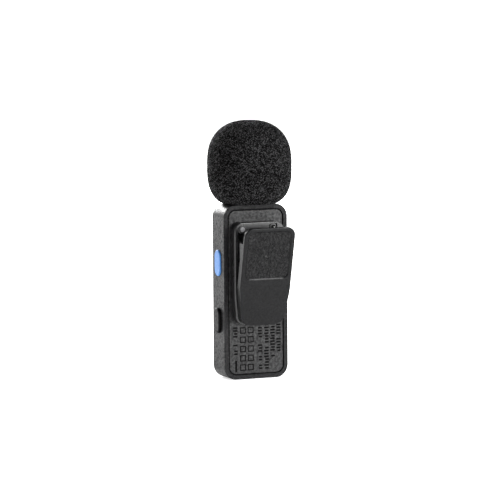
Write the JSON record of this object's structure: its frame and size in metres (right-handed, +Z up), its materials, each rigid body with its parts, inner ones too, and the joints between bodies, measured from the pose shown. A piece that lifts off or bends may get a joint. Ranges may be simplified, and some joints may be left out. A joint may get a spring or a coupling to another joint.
{
  "type": "lavalier microphone",
  "caption": "Slim wireless clip-on microphone: rounded box body, round foam windscreen on a short neck, sprung lever clip on the rear, side buttons and a side charging port.",
  "frame": {"origin": "centre of the body's flat base", "axes": "+Z up towards the microphone, -Y to the rear where the clip is, -X the side with the buttons"},
  "size_m": [0.0292, 0.0331, 0.0886],
  "materials": {
    "body_plastic": "satin moulded ABS",
    "panel_plastic": "fine spark-eroded ABS",
    "clip_plastic": "fine-textured nylon",
    "lever_plastic": "matte moulded nylon",
    "pad_rubber": "leather-grained elastomer",
    "windscreen_foam": "open-cell polyurethane foam",
    "blue_plastic": "satin",
    "grey_plastic": "satin",
    "mesh_steel": "blackened perforated steel",
    "capsule_metal": "drawn aluminium can",
    "black_rubber": "moulded silicone",
    "lead_sleeve": "PVC sleeve",
    "component_black": "moulded epoxy",
    "component_white": "moulded nylon",
    "circuit_board": "solder mask on glass epoxy",
    "tinned_steel": "tin plate",
    "screw_steel": "black zinc",
    "spring_steel": "nickel-plated spring wire",
    "battery_foil": "laminated pouch foil",
    "clear_acrylic": "clear moulded acrylic"
  },
  "bodies": {
    "transmitter": {"body_shell": "body_plastic", "rear_panel": "panel_plastic", "mic_neck": "body_plastic", "mesh_cap": "mesh_steel", "mic_capsule": "capsule_metal", "capsule_boot": "black_rubber", "capsule_leads": "lead_sleeve", "noise_switch": "component_black", "power_switch": "component_black", "main_board": "circuit_board", "board_screws": "screw_steel", "shield_can": "tinned_steel", "radio_chip": "component_black", "sound_chip": "component_black", "chip_antenna": "component_white", "status_lamp": "component_white", "light_pipe": "clear_acrylic", "port_shell": "tinned_steel", "port_tongue": "component_black", "battery": "battery_foil", "battery_tape": "black_rubber", "battery_connector": "component_white", "battery_leads": "lead_sleeve", "clip_base": "clip_plastic", "hinge_pin": "spring_steel", "clip_spring": "spring_steel", "clip_screws": "screw_steel"},
    "windscreen": {"foam_windscreen": "windscreen_foam"},
    "noise_control": {"noise_button": "blue_plastic", "noise_plunger": "component_white"},
    "power_control": {"power_button": "grey_plastic", "power_plunger": "component_white"},
    "lever": {"clip_lever": "lever_plastic", "finger_pad": "pad_rubber", "spring_leg": "spring_steel"}
  },
  "joints": [
    {"name": "clip_hinge", "type": "hinge", "parent": "transmitter", "child": "lever", "pos_m": [0, -0.0105, 0.0445], "axis": [-1, 0, 0], "range_deg": [0, 25], "stiffness_Nm_per_rad": 0.03, "springref_deg": -22.92, "deforming": ["clip_spring", "spring_leg"]},
    {"name": "windscreen_pull", "type": "slide", "parent": "transmitter", "child": "windscreen", "axis": [0, 0, 1], "range_m": [0, 0.016]},
    {"name": "noise_press", "type": "slide", "parent": "transmitter", "child": "noise_control", "axis": [1, 0, 0], "range_m": [0, 0.0003], "stiffness_N_per_m": 800, "springref_m": -0.001},
    {"name": "power_press", "type": "slide", "parent": "transmitter", "child": "power_control", "axis": [1, 0, 0], "range_m": [0, 0.0003], "stiffness_N_per_m": 800, "springref_m": -0.001}
  ]
}
